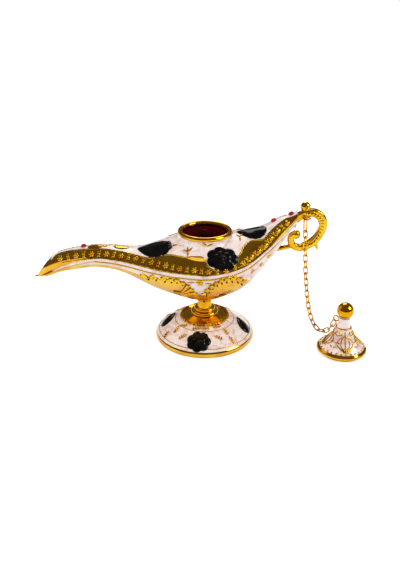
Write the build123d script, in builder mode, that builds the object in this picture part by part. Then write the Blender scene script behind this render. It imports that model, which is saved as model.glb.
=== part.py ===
from build123d import *
from math import asin, cos, degrees, hypot, pi, radians, sin
import os

# Genie oil lamp of cast, gilt and enamelled metal, with its lid standing beside it on a chain.
# Origin: centre of the foot's resting plane. +X runs towards the handle, +Z is up.

# Driving sizes of the lamp body
spout_reach = 91.0
tail_reach = 48.0
bowl_half_width = 24.1
bowl_depth = 22.3
deck_rise = 12.1
seam_height = 45.8
wall = 1.1
seam_bead_height = 1.5
seam_bead_out = 0.6
spout_cut_top = (-78.8, 49.6)
spout_cut_bottom = (-89.6, 35.8)
overrun = 2.0

# Mouth ring and its neck on the deck
mouth_bore_radius = 11.6
mouth_sleeve_wall = 1.0
mouth_rim_radius = 13.0
mouth_rim_wire = 1.3
mouth_height = 60.7
mouth_sleeve_depth = 6.5
neck_flare_out = 5.6
neck_flare_drop = 6.0

# Handle scroll behind the tail, drawn in the plane y = 0
handle_thickness = 4.0
handle_band = 4.2
handle_limb = 3.6
handle_corner = 1.2
scroll_radius = 2.4
branch_radius = 1.25
finial_radius = 2.6
finial_dimple_radius = 0.8
handle_start = (46.2, 66.9)
handle_top = (54.0, 70.8)
handle_right = (60.9, 63.5)
handle_bottom = (51.0, 51.9)
handle_left = (44.7, 56.2)
scroll_centre = (47.3, 58.9)
branch_foot = (37.4, 50.6)
branch_end = (45.4, 52.6)
finial_centre = (51.2, 73.9)
spur_root = (57.6, 54.4)
spur_length = 4.2
spur_radius = 1.5

# Stem and foot
stem_top_radius = 4.4
stem_waist_radius = 3.8
stem_upper_ring_radius = 5.7
stem_lower_ring_radius = 7.5
stem_bottom = 13.6
stem_ring_pitch = 1.9
stem_bore_radius = 2.2
foot_radius = 27.0
foot_rim_height = 3.4
foot_top_radius = 13.2
foot_height = 11.4
foot_wall = 1.4
foot_hub_thickness = 2.0
collar_radius = 13.56
collar_height = 1.3
collar_groove_depth = 0.5
collar_bead_radius = 0.55
collar_bead_count = 40
screw_radius = 1.9
screw_head_radius = 3.6
screw_head_height = 2.2
screw_socket_width = 2.5
screw_engagement = 5.0
washer_radius = 5.0
washer_thickness = 0.8
boss_radius = 4.0
boss_height = 5.6
fit = 0.15

# Lid, standing on the table beside the lamp
lid_place = (72.6, -18.5)
lid_rim_radius = 13.0
lid_spigot_clearance = 0.4
lid_spigot_height = 1.1
lid_rim_height = 2.9
lid_shoulder_height = 17.2
lid_neck_radius = 3.0
lid_neck_height = 2.6
lid_wall = 1.2
knob_radius = 4.4
knob_stud_radius = 1.2
knob_stud_length = 4.0
lid_lug_wire = 0.8
lid_lug_radius = 1.45

# Chain of oval wire links
link_pitch = 3.3
link_count = 21
link_wire = 0.7
link_width = 2.9
link_play = 0.12
loop_pitch = 6.6
loop_wire = 0.8
loop_width = 3.7
eye_wire = 0.8
eye_radius = 1.7
wire_sides = 6
end_steps = 5
eye_height = 68.3

# Enamelled relief and crystals
rose_radius = 7.6
rose_height = 2.3
rose_petals = 7
rose_place = (6.4, -17.0)
foot_rose_radius = 6.4
bud_length = 16.5
bud_width = 11.5
bud_height = 2.0
bud_place = (-28.5, -2.6)
petal_length = 16.0
petal_width = 9.6
petal_place = (25.0, -2.2)
foot_petal_length = 12.5
foot_petal_width = 7.0
relief_taper = 28
gem_radius = 1.5
gem_height = 1.1
gem_sides = 8
gem_spout_x = -63.5
gem_tail_x = 35.4
gem_handle_x = 44.2

os.makedirs("parts", exist_ok=True)


# Each station across the body gives shares of the driving sizes:
# place along the body, half width, seam height, rise of the deck, depth of the bowl
station_shares = (
    (-0.978, 0.060, 0.788, 0.26, 0.045),
    (-0.945, 0.135, 0.814, 0.52, 0.090),
    (-0.857, 0.180, 0.902, 0.61, 0.165),
    (-0.769, 0.213, 0.976, 0.525, 0.240),
    (-0.659, 0.253, 1.035, 0.435, 0.293),
    (-0.549, 0.328, 1.048, 0.397, 0.353),
    (-0.440, 0.411, 1.022, 0.400, 0.444),
    (-0.330, 0.564, 0.998, 0.600, 0.629),
    (-0.220, 0.763, 0.993, 0.900, 0.792),
    (-0.110, 0.929, 1.000, 1.080, 0.930),
    (0.000, 1.000, 1.000, 1.150, 1.000),
    (0.110, 0.950, 1.020, 1.090, 0.930),
    (0.220, 0.784, 1.061, 1.002, 0.818),
    (0.308, 0.589, 1.151, 0.822, 0.647),
    (0.385, 0.415, 1.258, 0.702, 0.472),
    (0.451, 0.266, 1.362, 0.540, 0.276),
    (0.516, 0.124, 1.474, 0.339, 0.220),
)
lip_share = (-1.0, 0.025, 0.772, 0.0, 0.030)
bead_share = 0.3
# First and last place of the cavity in the deck and in the bowl
deck_hollow_shares = (-0.98, 0.46)
bowl_hollow_shares = (-0.95, 0.46)


def station(shares):
    """Real place, half width, seam height, rise and depth of one station."""
    along, width, seam, rise, depth = shares
    return (
        along * spout_reach,
        width * bowl_half_width,
        seam * seam_height,
        rise * deck_rise,
        depth * bowl_depth,
    )


def deck_section(shares, inset=0.0):
    """Cross-section of the deck: an arch over the straight seam line."""
    x, half, seam, rise, depth = station(shares)
    half = half - inset
    rise = rise - inset
    with BuildSketch(Plane.YZ.offset(x)) as section:
        with BuildLine():
            ThreePointArc((-half, seam), (0, seam + rise), (half, seam))
            if inset:
                Polyline((half, seam), (half, seam - overrun), (-half, seam - overrun), (-half, seam))
            else:
                Line((half, seam), (-half, seam))
        make_face()
    return section.sketch.face()


def bowl_section(shares, inset=0.0):
    """Cross-section of the bowl: elliptic keel, with a rounded bead along the seam."""
    x, half, seam, rise, depth = station(shares)
    half = half - inset
    depth = depth - inset
    bead = 0.0 if inset else min(seam_bead_height, bead_share * depth)
    out = seam_bead_out * bead / seam_bead_height
    drop = degrees(asin(bead / depth))
    with BuildSketch(Plane.YZ.offset(x)) as section:
        with BuildLine():
            keel = EllipticalCenterArc((0, seam), half, depth, 180 + drop, arc_size=180 - 2 * drop)
            if inset:
                Polyline(keel @ 0, (-half, seam + overrun), (half, seam + overrun), keel @ 1)
            else:
                Line((-half, seam), (half, seam))
                ThreePointArc((half, seam), (half + out, seam - bead / 2), keel @ 1)
                ThreePointArc((-half, seam), (-half - out, seam - bead / 2), keel @ 0)
        make_face()
    return section.sketch.face()


def hollow_stations(first_share, last_share):
    """Stations between two places, where the walls leave a cavity."""
    return [row for row in station_shares if first_share <= row[0] <= last_share]


def finish(builder, name):
    """Label a finished piece and write it out."""
    builder.part.label = name
    export_step(builder.part, f"parts/{name}.step")


# Outer forms of the deck and the bowl, kept whole as seats for what stands on them
with BuildPart() as deck_form:
    loft(sections=[deck_section(row) for row in station_shares])
    with BuildSketch(Plane.XZ):
        with BuildLine():
            neck_top = mouth_height - mouth_rim_wire * 0.8
            neck_side = mouth_rim_radius + mouth_rim_wire * 0.6
            neck_low = neck_top - neck_flare_drop
            Spline(
                (neck_side, neck_top),
                (neck_side + neck_flare_out, neck_low),
                tangents=((0.25, -1), (1, -0.75)),
            )
            Polyline(
                (neck_side + neck_flare_out, neck_low),
                (neck_side + neck_flare_out, neck_low - neck_flare_drop),
                (0, neck_low - neck_flare_drop),
                (0, neck_top),
                (neck_side, neck_top),
            )
        make_face()
    revolve(axis=Axis.Z)

with BuildPart() as bowl_form:
    loft(sections=[bowl_section(row) for row in (lip_share,) + station_shares])


# Upper shell: the deck with its neck, hollow, open at the mouth and at the spout's slanted end
sleeve_radius = mouth_bore_radius + mouth_sleeve_wall
with BuildPart() as upper_shell:
    add(deck_form.part)
    loft(
        sections=[deck_section(row, wall) for row in hollow_stations(*deck_hollow_shares)],
        mode=Mode.SUBTRACT,
    )
    with BuildSketch(Plane.XY.offset(seam_height + overrun)):
        Circle(sleeve_radius)
    extrude(amount=mouth_height, mode=Mode.SUBTRACT)
    # Level seat under the rim
    with BuildSketch(Plane.XY.offset(neck_top)):
        Circle(mouth_rim_radius + mouth_rim_wire + fit)
    extrude(amount=mouth_rim_wire * 2, mode=Mode.SUBTRACT)
    with BuildSketch(Plane.XZ):
        with BuildLine():
            Polyline(
                spout_cut_top,
                spout_cut_bottom,
                (-spout_reach, spout_cut_bottom[1] - overrun),
                (-spout_reach, spout_cut_top[1] + overrun),
                spout_cut_top,
                close=True,
            )
        make_face()
    extrude(amount=bowl_half_width, both=True, mode=Mode.SUBTRACT)
finish(upper_shell, "upper_shell")

# Lower shell: the bowl with its spout channel, pointed lip and the inside boss for the foot's screw
keel_height = seam_height - bowl_depth
with BuildPart() as lower_shell:
    add(bowl_form.part)
    loft(
        sections=[bowl_section(row, wall) for row in hollow_stations(*bowl_hollow_shares)],
        mode=Mode.SUBTRACT,
    )
    with BuildSketch(Plane.XY.offset(keel_height + wall / 2)):
        Circle(boss_radius)
    extrude(amount=boss_height)
    with BuildSketch(Plane.XY.offset(keel_height - overrun)):
        Circle(screw_radius)
    extrude(amount=overrun + wall / 2 + screw_engagement, mode=Mode.SUBTRACT)
    # Flat seat for the top of the stem
    with BuildSketch(Plane.XY.offset(keel_height - overrun)):
        Circle(stem_top_radius + fit)
    extrude(amount=overrun + wall / 2, mode=Mode.SUBTRACT)
    add(deck_form.part, mode=Mode.SUBTRACT)
finish(lower_shell, "lower_shell")

# Mouth ring: a rounded rim on a sleeve that is pressed into the neck
rim_seat = neck_top
with BuildPart() as mouth_ring:
    with BuildSketch(Plane.XZ):
        with Locations((mouth_rim_radius, mouth_height)):
            Circle(mouth_rim_wire)
        with BuildLine():
            Polyline(
                (mouth_bore_radius, rim_seat - mouth_sleeve_depth),
                (sleeve_radius, rim_seat - mouth_sleeve_depth),
                (sleeve_radius, mouth_height),
                (mouth_bore_radius, mouth_height),
                close=True,
            )
        make_face()
        with BuildLine():
            Polyline(
                (sleeve_radius, rim_seat),
                (sleeve_radius + mouth_rim_wire * 2, rim_seat),
                (sleeve_radius + mouth_rim_wire * 2, rim_seat - mouth_rim_wire),
                (sleeve_radius, rim_seat - mouth_rim_wire),
                close=True,
            )
        make_face(mode=Mode.SUBTRACT)
        with BuildLine():
            Polyline(
                (mouth_bore_radius, rim_seat - mouth_sleeve_depth),
                (mouth_bore_radius, mouth_height + mouth_rim_wire * 2),
                (0, mouth_height + mouth_rim_wire * 2),
                (0, rim_seat - mouth_sleeve_depth),
                close=True,
            )
        make_face(mode=Mode.SUBTRACT)
    revolve(axis=Axis.Z)
finish(mouth_ring, "mouth_ring")

# Stem: a turned baluster between the bowl and the collar
stem_top = keel_height + wall / 2
ring_low = stem_bottom
ring_mid = stem_bottom + stem_ring_pitch
ring_top = ring_mid + stem_ring_pitch
with BuildPart() as stem:
    with BuildSketch(Plane.XZ):
        with BuildLine():
            Polyline((stem_bore_radius, ring_low), (stem_lower_ring_radius - wall / 2, ring_low))
            ThreePointArc(
                (stem_lower_ring_radius - wall / 2, ring_low),
                (stem_lower_ring_radius, ring_low + stem_ring_pitch / 2),
                (stem_lower_ring_radius - wall / 2, ring_mid),
            )
            Line((stem_lower_ring_radius - wall / 2, ring_mid), (stem_upper_ring_radius - wall / 2, ring_mid))
            ThreePointArc(
                (stem_upper_ring_radius - wall / 2, ring_mid),
                (stem_upper_ring_radius, ring_mid + stem_ring_pitch / 2),
                (stem_upper_ring_radius - wall / 2, ring_top),
            )
            Line((stem_upper_ring_radius - wall / 2, ring_top), (stem_waist_radius + wall / 4, ring_top))
            ThreePointArc(
                (stem_waist_radius + wall / 4, ring_top),
                (stem_waist_radius, (ring_top + stem_top) / 2),
                (stem_top_radius, stem_top),
            )
            Polyline((stem_top_radius, stem_top), (stem_bore_radius, stem_top), (stem_bore_radius, ring_low))
        make_face()
    revolve(axis=Axis.Z)
finish(stem, "stem")

# Foot collar: a dished disc with a beaded edge between the stem and the foot
collar_bottom = foot_height
with BuildPart() as foot_collar:
    with BuildSketch(Plane.XZ):
        with BuildLine():
            Polyline(
                (stem_bore_radius, stem_bottom),
                (stem_bore_radius, collar_bottom),
                (collar_radius - collar_bead_radius, collar_bottom),
                (collar_radius - collar_bead_radius, collar_bottom + collar_height),
                (collar_radius - 2 * collar_bead_radius, collar_bottom + collar_height),
                (collar_radius - 2 * collar_bead_radius, collar_bottom + collar_height - collar_groove_depth),
                (collar_radius - 3 * collar_bead_radius, collar_bottom + collar_height - collar_groove_depth),
            )
            ThreePointArc(
                (collar_radius - 3 * collar_bead_radius, collar_bottom + collar_height - collar_groove_depth),
                (
                    (collar_radius + stem_lower_ring_radius) / 2,
                    (collar_bottom + collar_height + stem_bottom) / 2 - collar_bead_radius,
                ),
                (stem_lower_ring_radius, stem_bottom),
            )
            Line((stem_lower_ring_radius, stem_bottom), (stem_bore_radius, stem_bottom))
        make_face()
    revolve(axis=Axis.Z)
    bead_circle = collar_radius - collar_bead_radius
    with BuildSketch(Plane.XY.offset(collar_bottom)):
        with PolarLocations(bead_circle, collar_bead_count):
            RegularPolygon(collar_bead_radius, wire_sides)
    extrude(amount=collar_height * 0.7)
finish(foot_collar, "foot_collar")

# Foot: a shallow enamelled dome on a rounded rim, hollow below, with a hub for the screw
rim_round = foot_wall / 2
hub_bottom = foot_height - foot_hub_thickness
dome_top = (foot_top_radius, foot_height)
dome_low = (foot_radius - rim_round, foot_rim_height)
dome_middle = (
    (dome_top[0] + dome_low[0]) / 2 + foot_wall / 3,
    (dome_top[1] + dome_low[1]) / 2 + foot_wall / 3,
)
with BuildPart() as foot:
    with BuildSketch(Plane.XZ):
        with BuildLine():
            ThreePointArc(dome_top, dome_middle, dome_low)
            ThreePointArc(dome_low, (foot_radius, foot_rim_height / 2), (foot_radius - rim_round, 0))
            Polyline(
                (foot_radius - rim_round, 0),
                (foot_radius - rim_round - 2 * foot_wall, 0),
                (foot_radius - rim_round - 2 * foot_wall, foot_rim_height - foot_wall),
            )
            ThreePointArc(
                (foot_radius - rim_round - 2 * foot_wall, foot_rim_height - foot_wall),
                (dome_middle[0] - foot_wall, dome_middle[1] - foot_wall),
                (foot_top_radius - foot_wall, hub_bottom),
            )
            Polyline(
                (foot_top_radius - foot_wall, hub_bottom),
                (stem_bore_radius, hub_bottom),
                (stem_bore_radius, foot_height),
                dome_top,
            )
        make_face()
    revolve(axis=Axis.Z)
finish(foot, "foot")

with BuildPart() as foot_form:
    with BuildSketch(Plane.XZ):
        with BuildLine():
            ThreePointArc(dome_top, dome_middle, dome_low)
            Polyline(dome_low, (foot_radius - rim_round, 0), (0, 0), (0, foot_height), dome_top)
        make_face()
    revolve(axis=Axis.Z)

# Washer and socket screw that hold foot, collar and stem to the bowl
washer_bottom = hub_bottom - washer_thickness
with BuildPart() as foot_washer:
    with BuildSketch(Plane.XY.offset(washer_bottom)):
        Circle(washer_radius)
        Circle(stem_bore_radius, mode=Mode.SUBTRACT)
    extrude(amount=washer_thickness)
finish(foot_washer, "foot_washer")

head_bottom = washer_bottom - screw_head_height
screw_top = stem_top + screw_engagement - fit
with BuildPart() as foot_screw:
    with BuildSketch(Plane.XY.offset(head_bottom)):
        Circle(screw_head_radius)
    extrude(amount=screw_head_height)
    chamfer(foot_screw.edges().group_by(Axis.Z)[0], length=screw_head_height / 5)
    with BuildSketch(Plane.XY.offset(head_bottom)):
        RegularPolygon(screw_socket_width / 2, 6, major_radius=False)
    extrude(amount=screw_head_height / 2, mode=Mode.SUBTRACT)
    with BuildSketch(Plane.XY.offset(washer_bottom)):
        Circle(screw_radius)
    extrude(amount=screw_top - washer_bottom)
finish(foot_screw, "foot_screw")

# Handle: one scroll from the tail over the top, round the finger hole and up to a ball,
# with a branch from the keel and a small pointed leaf
def cut_body():
    """Seat the piece under way against the lamp body."""
    add(deck_form.part, mode=Mode.SUBTRACT)
    add(bowl_form.part, mode=Mode.SUBTRACT)


with BuildPart() as handle:
    start_bulge = (
        (handle_start[0] + handle_top[0]) / 2 - handle_band / 12,
        (handle_start[1] + handle_top[1]) / 2 + handle_band / 6,
    )
    with BuildLine(Plane.XZ):
        neck_arc = ThreePointArc(handle_start, start_bulge, handle_top)
        right_arc = TangentArc([handle_top, handle_right], tangent=neck_arc % 1)
        lower_arc = TangentArc([handle_right, handle_bottom], tangent=right_arc % 1)
        left_arc = TangentArc([handle_bottom, handle_left], tangent=lower_arc % 1)
        scroll_arc = TangentArc([handle_left, scroll_centre], tangent=left_arc % 1)
    with BuildSketch(Plane(origin=neck_arc @ 0, x_dir=(0, 1, 0), z_dir=neck_arc % 0)):
        RectangleRounded(handle_thickness, handle_band, handle_corner)
    sweep(path=Wire([neck_arc.edge(), right_arc.edge(), lower_arc.edge()]))
    with BuildSketch(Plane(origin=left_arc @ 0, x_dir=(0, 1, 0), z_dir=left_arc % 0)):
        RectangleRounded(handle_thickness, handle_limb, handle_corner)
    sweep(path=Wire([left_arc.edge(), scroll_arc.edge()]))
    with Locations((scroll_centre[0], 0, scroll_centre[1])):
        Sphere(scroll_radius)
    branch_start = Vector(branch_foot[0], 0, branch_foot[1])
    branch_run = Vector(branch_end[0], 0, branch_end[1]) - branch_start
    with BuildSketch(Plane(origin=branch_start - branch_run * 0.2, z_dir=branch_run)):
        Circle(branch_radius)
    extrude(amount=branch_run.length * 1.2)
    spur_start = Vector(spur_root[0], 0, spur_root[1])
    spur_run = (spur_start - Vector(handle_top[0], 0, handle_right[1])).normalized()
    with BuildSketch(Plane(origin=spur_start, z_dir=spur_run)):
        Circle(spur_radius)
    extrude(amount=spur_length, taper=15)
    cut_body()
finish(handle, "handle")

# Finial ball over the handle's neck, with a dimple in its front
with BuildPart() as handle_finial:
    with Locations((finial_centre[0], 0, finial_centre[1])):
        Sphere(finial_radius)
    with Locations((finial_centre[0], -finial_radius, finial_centre[1])):
        Sphere(finial_dimple_radius, mode=Mode.SUBTRACT)
    add(handle.part, mode=Mode.SUBTRACT)
    cut_body()
finish(handle_finial, "handle_finial")

# The chain hangs in one upright plane, from the eye on the handle to the lug on the lid
eye_centre = Vector(finial_centre[0] + eye_wire, -(handle_thickness / 2 + eye_wire * 0.6), eye_height)
lid_axis_point = Vector(lid_place[0], lid_place[1], eye_height)
to_lid = (lid_axis_point - eye_centre).normalized()
to_lid_flat = Vector(to_lid.X, to_lid.Y, 0).normalized()
# The eye's outer side faces square to the chain's plane
eye_out = Vector(to_lid.Y, -to_lid.X, 0)
hang_point = eye_centre + eye_out * eye_radius + Vector(0, 0, eye_wire / 2)
with BuildPart() as chain_eye:
    with BuildSketch(Plane(origin=eye_centre, x_dir=(1, 0, 0), z_dir=(0, -1, 0))):
        with Locations((eye_radius, 0)):
            Circle(eye_wire / 2)
    revolve(axis=Axis(eye_centre, (0, 0, 1)))
    add(handle.part, mode=Mode.SUBTRACT)
    cut_body()
finish(chain_eye, "chain_eye")

# Lid shell: a trumpet cone, hollow below, that stands on its spigot
lid_spigot_radius = mouth_bore_radius - lid_spigot_clearance
lid_centre = Vector(lid_place[0], lid_place[1], 0)
lid_plane = Plane(origin=lid_centre, x_dir=(1, 0, 0), z_dir=(0, -1, 0))
lid_axis = Axis(lid_centre, (0, 0, 1))
cone_foot = (lid_rim_radius - lid_wall / 3, lid_rim_height)
cone_middle = (lid_rim_radius * 0.47, lid_rim_height + (lid_shoulder_height - lid_rim_height) * 0.47)
cone_top = (lid_neck_radius, lid_shoulder_height)
lid_neck_top = lid_shoulder_height + lid_neck_height
with BuildPart() as lid_form:
    with BuildSketch(lid_plane):
        with BuildLine():
            ThreePointArc(cone_foot, cone_middle, cone_top)
            Polyline(cone_top, (lid_neck_radius, lid_neck_top), (0, lid_neck_top), (0, lid_rim_height), cone_foot)
        make_face()
    revolve(axis=lid_axis)

with BuildPart() as lid_shell:
    add(lid_form.part)
    with BuildSketch(lid_plane):
        with BuildLine():
            ThreePointArc(
                (cone_foot[0] - lid_wall * 1.6, lid_rim_height),
                (cone_middle[0] - lid_wall, cone_middle[1] - lid_wall),
                (lid_neck_radius - lid_wall / 2, lid_shoulder_height - 2 * lid_wall),
            )
            Polyline(
                (lid_neck_radius - lid_wall / 2, lid_shoulder_height - 2 * lid_wall),
                (0, lid_shoulder_height - 2 * lid_wall),
                (0, lid_rim_height),
                (cone_foot[0] - lid_wall * 1.6, lid_rim_height),
            )
        make_face()
    revolve(axis=lid_axis, mode=Mode.SUBTRACT)
    with BuildSketch(Plane.XY.offset(lid_shoulder_height - 3 * lid_wall)):
        with Locations(lid_place):
            Circle(knob_stud_radius)
    extrude(amount=lid_neck_height + 4 * lid_wall, mode=Mode.SUBTRACT)
finish(lid_shell, "lid_shell")

# Lid rim: a rounded band whose inner wall is the spigot that enters the mouth
with BuildPart() as lid_rim:
    with BuildSketch(lid_plane):
        with BuildLine():
            Polyline(
                (lid_spigot_radius, lid_spigot_height),
                (lid_spigot_radius, 0),
                (lid_spigot_radius - lid_wall, 0),
                (lid_spigot_radius - lid_wall, lid_rim_height),
                (lid_rim_radius - lid_wall / 4, lid_rim_height),
            )
            ThreePointArc(
                (lid_rim_radius - lid_wall / 4, lid_rim_height),
                (lid_rim_radius, (lid_rim_height + lid_spigot_height) / 2 + lid_wall / 4),
                (lid_spigot_radius, lid_spigot_height),
            )
        make_face()
    revolve(axis=lid_axis)
finish(lid_rim, "lid_rim")

# Lid knob: a ball on a stud that is riveted below the neck
knob_height = lid_neck_top + knob_radius * 0.94
with BuildPart() as lid_knob:
    with Locations((lid_place[0], lid_place[1], knob_height)):
        Sphere(knob_radius)
    with BuildSketch(Plane.XY.offset(lid_neck_top)):
        with Locations(lid_place):
            Circle(lid_neck_radius)
    extrude(amount=-knob_radius, mode=Mode.SUBTRACT)
    with BuildSketch(Plane.XY.offset(lid_neck_top + knob_radius / 4)):
        with Locations(lid_place):
            Circle(knob_stud_radius)
    extrude(amount=-(lid_neck_top + knob_radius / 4 - lid_shoulder_height + knob_stud_length))
finish(lid_knob, "lid_knob")

# Lid lug: a small ring on the lid's neck, in the plane of the chain
lug_out = lid_neck_radius + lid_lug_radius + lid_lug_wire / 4
lug_height = lid_shoulder_height + lid_lug_wire
away = Vector(-to_lid.X, -to_lid.Y, 0).normalized()
lug_centre = Vector(lid_place[0], lid_place[1], lug_height) + away * lug_out
chain_side = Vector(away.Y, -away.X, 0)
with BuildPart() as lid_lug:
    with BuildLine(Plane(origin=lug_centre, x_dir=away, z_dir=chain_side)) as lug_path:
        CenterArc((0, 0), lid_lug_radius, 0, 360)
    with BuildSketch(Plane(origin=lug_path.line @ 0, z_dir=lug_path.line % 0)):
        Circle(lid_lug_wire / 2)
    sweep(path=lug_path.wires()[0])
    add(lid_form.part, mode=Mode.SUBTRACT)
finish(lid_lug, "lid_lug")


def hang_links(pull, low_link, pitches):
    """Ends of the links of a hanging chain, as distance along its plane and height."""
    along, down = 0.0, 0.0
    ends = []
    for number, pitch in enumerate(pitches):
        lift = number + 0.5 - low_link
        size = hypot(pull, lift)
        along += pitch * pull / size
        down += pitch * lift / size
        ends.append((along, down))
    return ends


def solve_chain(pitches, reach, drop):
    """Pull and lowest link at which the hanging chain ends where the lid holds it."""
    pull_low, pull_high = 0.001, float(len(pitches))
    for _ in range(60):
        pull = (pull_low + pull_high) / 2
        link_low, link_high = -float(len(pitches)), 3.0 * len(pitches)
        for _ in range(60):
            low_link = (link_low + link_high) / 2
            if hang_links(pull, low_link, pitches)[-1][1] > drop:
                link_low = low_link
            else:
                link_high = low_link
        if hang_links(pull, low_link, pitches)[-1][0] < reach:
            pull_low = pull
        else:
            pull_high = pull
    return pull, low_link


def oval_link(start, end, wire, width, flat):
    """One closed link between two contact points, with its broad side square to flat."""
    half_round = (width - wire) / 2
    run = end - start
    straight = (run.length + link_play + wire) / 2 - half_round
    turn = pi / end_steps
    corner = half_round / cos(turn / 2)
    points = [(half_round, 0), (half_round, straight)]
    for step in range(1, end_steps):
        angle = turn * step
        points.append((corner * cos(angle), straight + corner * sin(angle)))
    points.append((-half_round, straight))
    points.append((-half_round, 0))
    middle = Plane(origin=(start + end) / 2, x_dir=run.cross(flat), z_dir=flat)
    with BuildPart() as link:
        with BuildLine(middle) as outline:
            Polyline(*points)
        with BuildSketch(Plane(origin=outline.line @ 0, z_dir=outline.line % 0)):
            RegularPolygon(wire / 2, wire_sides)
        sweep(path=outline.wires()[0], transition=Transition.RIGHT)
        mirror(about=Plane(origin=middle.origin, z_dir=run))
    return link


# Chain: a long loop on the eye, then the links, each turned a quarter against the last
link_pitches = [loop_pitch] + [link_pitch] * link_count
hang_plane_drop = lug_centre.Z - hang_point.Z
lug_reach = Vector(lug_centre.X - hang_point.X, lug_centre.Y - hang_point.Y, 0).length
lug_inner = lid_lug_radius - lid_lug_wire / 2
lug_catch_share = 0.97
pull, low_link = solve_chain(
    link_pitches,
    lug_reach - lug_inner * (1 - lug_catch_share),
    hang_plane_drop - lug_inner * lug_catch_share,
)
contacts = [hang_point]
for along, down in hang_links(pull, low_link, link_pitches):
    contacts.append(hang_point + to_lid_flat * along + Vector(0, 0, down))
print("lowest link height", min(point.Z for point in contacts) - link_width / 2)

for number in range(len(link_pitches)):
    start, end = contacts[number], contacts[number + 1]
    flat_along = (end - start).cross(chain_side).normalized()
    flat = flat_along if number % 2 == 0 else chain_side
    if number == 0:
        chain_loop = oval_link(start, end, loop_wire, loop_width, flat)
        finish(chain_loop, "chain_loop")
    else:
        finish(oval_link(start, end, link_wire, link_width, flat), f"chain_link_{number:02d}")


def seat_plane(form, x, y, heading):
    """Plane on the upper surface of a form, with its x direction towards a heading."""
    above = mouth_height + knob_radius
    hits = form.find_intersection_points(Axis((x, y, above), (0, 0, -1)))
    point, normal = max(hits, key=lambda hit: hit[0].Z)
    if normal.Z < 0:
        normal = normal * -1
    ahead = Vector(cos(radians(heading)), sin(radians(heading)), 0)
    return Plane(origin=point, x_dir=ahead - normal * ahead.dot(normal), z_dir=normal)


def rose(plane, radius, seat):
    """A full rose: three tiers of rounded petals over a bud, seated on a curved form."""
    tier_height = rose_height / 3
    tier_radius_shares = (1, 0.72, 0.42)
    with BuildPart() as flower:
        for tier, share in enumerate(tier_radius_shares):
            low = -rose_height if tier == 0 else tier * tier_height
            with BuildSketch(plane.offset(low)):
                Circle(radius * share * 0.75)
                with PolarLocations(radius * share * 0.62, rose_petals - tier, start_angle=tier * 20):
                    Circle(radius * share * 0.38)
            extrude(amount=(tier + 1) * tier_height - low)
        add(seat, mode=Mode.SUBTRACT)
    return flower


def teardrop(plane, length, width, height, seat):
    """A smooth drop with a round end and a point, domed on top, seated on a curved form."""
    tip_radius = width / 8
    with BuildPart() as drop:
        with BuildSketch(plane.offset(-height)):
            with Locations((-length / 2 + width / 2, 0)):
                Circle(width / 2)
            with Locations((length / 2 - tip_radius, 0)):
                Circle(tip_radius)
            make_hull()
        extrude(amount=2 * height)
        top = drop.faces().sort_by(Axis(plane.origin, plane.z_dir))[-1]
        fillet(top.edges(), radius=tip_radius * 0.9)
        add(seat, mode=Mode.SUBTRACT)
    return drop


def crystal(plane):
    """A cut crystal: a faceted disc that narrows to its table."""
    with BuildPart() as gem:
        with BuildSketch(plane.offset(-gem_height / 2)):
            RegularPolygon(gem_radius, gem_sides)
        extrude(amount=gem_height)
        with BuildSketch(plane.offset(gem_height / 2)):
            RegularPolygon(gem_radius, gem_sides)
        extrude(amount=gem_height / 2, taper=relief_taper)
        add(deck_form.part, mode=Mode.SUBTRACT)
    return gem


# Black enamel relief on the deck: a rose on each flank, a bud on the spout, a drop on the tail
for side, sign in (("front", 1), ("back", -1)):
    place = seat_plane(deck_form.part, rose_place[0], sign * rose_place[1], 0)
    finish(rose(place, rose_radius, deck_form.part), f"deck_rose_{side}")
bud_plane = seat_plane(deck_form.part, *bud_place, 180)
finish(teardrop(bud_plane, bud_length, bud_width, bud_height, deck_form.part), "spout_bud")
petal_plane = seat_plane(deck_form.part, *petal_place, 180)
finish(teardrop(petal_plane, petal_length, petal_width, bud_height, deck_form.part), "tail_drop")

# Black enamel relief on the foot: roses front and back, drops between them
foot_relief_radius = (foot_top_radius + foot_radius) / 2
for side, angle in (("front", -98), ("back", 82)):
    x = foot_relief_radius * cos(radians(angle))
    y = foot_relief_radius * sin(radians(angle))
    place = seat_plane(foot_form.part, x, y, angle)
    finish(rose(place, foot_rose_radius, foot_form.part), f"foot_rose_{side}")
for side, angle in (("left_front", -152), ("right_front", -38), ("left_back", 142), ("right_back", 28)):
    x = foot_relief_radius * cos(radians(angle))
    y = foot_relief_radius * sin(radians(angle))
    place = seat_plane(foot_form.part, x, y, angle + 180)
    drop = teardrop(place, foot_petal_length, foot_petal_width, bud_height, foot_form.part)
    finish(drop, f"foot_drop_{side}")

# Red crystals along the ridge
for name, x in (("gem_spout", gem_spout_x), ("gem_tail", gem_tail_x), ("gem_handle", gem_handle_x)):
    finish(crystal(seat_plane(deck_form.part, x, 0, 0)), name)
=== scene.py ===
# %% [markdown]
# A footed oil lamp in cast metal: gilt where the metal shows, pearl enamel in the fields,
# glossy black enamel on the raised roses and leaves, and a few red crystals. The rigid forms
# come from the measured frame. This lesson gives them their finishes and adds the fine
# cast ornament, which is made flat and then laid on the curved walls.

from math import cos, pi, radians, sin

import bmesh
import bpy
from mathutils import Matrix, Vector
from mathutils.bvhtree import BVHTree


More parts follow.
